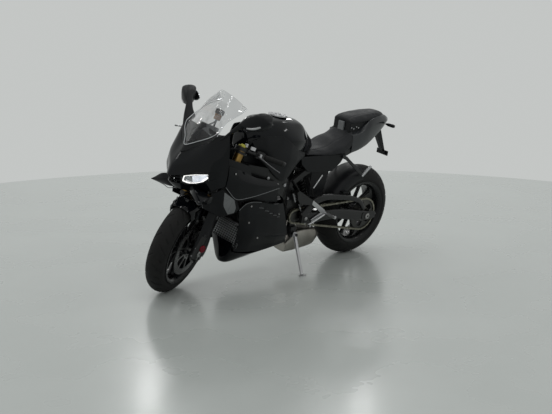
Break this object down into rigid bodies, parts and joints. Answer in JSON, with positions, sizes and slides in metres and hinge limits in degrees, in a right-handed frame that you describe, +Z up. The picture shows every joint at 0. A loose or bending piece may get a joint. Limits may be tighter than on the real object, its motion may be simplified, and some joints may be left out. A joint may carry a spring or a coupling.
{
  "type": "sport motorcycle",
  "caption": "Fully faired sport motorcycle leaning on its side stand, steering on the left stop, with turning wheels, steering and folding stand.",
  "frame": {"origin": "on the floor, under the middle of the leaning machine's length and width", "axes": "+X forward, +Y to the rider's left, +Z up; the machine leans 11.3 degrees to its left"},
  "size_m": [2.0518, 0.8034, 1.1902],
  "materials": {
    "chrome_tube": "hard chrome",
    "clear_screen": "clear moulded screen",
    "core": "dark finned core",
    "engine_metal": "dark grey cast metal",
    "exhaust_metal": "heat-tinted steel",
    "frame_black": "satin black coated aluminium",
    "gloss_black": "high gloss black lacquer",
    "gold_anodised": "gold anodised",
    "grip_rubber": "ribbed rubber",
    "lamp_lens": "clear lens over lit strips",
    "rear_lens": "dark red lens",
    "reservoir": "amber fluid cup, black cap",
    "rim_black": "gloss black enamel",
    "satin_black": "satin moulded black",
    "seat_cover": "grained black seat cover",
    "silver": "satin silver",
    "steel": "ground steel",
    "tyre_rubber": "matt tread"
  },
  "bodies": {
    "chassis": {"rear_axle": "steel", "main_frame": "frame_black", "engine_block": "engine_metal", "radiators": "core", "swingarm": "frame_black", "rear_shock": "frame_black", "under_seat_box": "satin_black", "drive_chain": "steel", "rear_caliper": "frame_black", "rear_hugger": "satin_black", "exhaust": "exhaust_metal", "rearsets": "silver", "passenger_pegs": "frame_black", "fuel_tank": "gloss_black", "fuel_cap": "silver", "tank_side_covers": "satin_black", "rider_seat": "seat_cover", "pillion_seat": "seat_cover", "tail_cowl": "gloss_black", "rear_lamps": "rear_lens", "plate_carrier": "satin_black", "side_fairings": "gloss_black", "belly_pan": "gloss_black", "winglets": "gloss_black", "nose_cowl": "gloss_black", "headlamps": "lamp_lens", "windscreen": "clear_screen", "dashboard": "satin_black", "mirrors": "satin_black"},
    "steering": {"triple_clamps": "frame_black", "fork_outer_tubes": "gold_anodised", "fork_inner_tubes": "chrome_tube", "fork_feet": "frame_black", "front_axle": "steel", "front_calipers": "frame_black", "front_fender": "gloss_black", "handlebars": "frame_black", "grips": "grip_rubber", "levers": "frame_black", "brake_reservoir": "reservoir"},
    "front_wheel": {"front_rim": "rim_black", "front_tyre": "tyre_rubber", "front_brake_discs": "steel"},
    "rear_wheel": {"rear_rim": "rim_black", "rear_tyre": "tyre_rubber", "rear_brake_disc": "steel", "rear_sprocket": "steel"},
    "stand": {"side_stand": "silver"}
  },
  "joints": [
    {"name": "steering", "type": "hinge", "parent": "chassis", "child": "steering", "pos_m": [0.501, -0.04211, 0.78622], "axis": [-0.3957, 0.1799, 0.9006], "range_deg": [-54, 0]},
    {"name": "front_wheel_spin", "type": "hinge", "parent": "steering", "child": "front_wheel", "pos_m": [0.74807, -0.12898, 0.28461], "axis": [-0.4179, 0.838, -0.3509], "continuous": true},
    {"name": "rear_wheel_spin", "type": "hinge", "parent": "chassis", "child": "rear_wheel", "pos_m": [-0.70596, -0.13759, 0.31556], "axis": [-0.001, 0.9805, -0.1963], "continuous": true},
    {"name": "side_stand_fold", "type": "hinge", "parent": "chassis", "child": "stand", "pos_m": [-0.06635, -0.01954, 0.23965], "axis": [0.0002, 0.9991, 0.0428], "range_deg": [0, 90]}
  ]
}
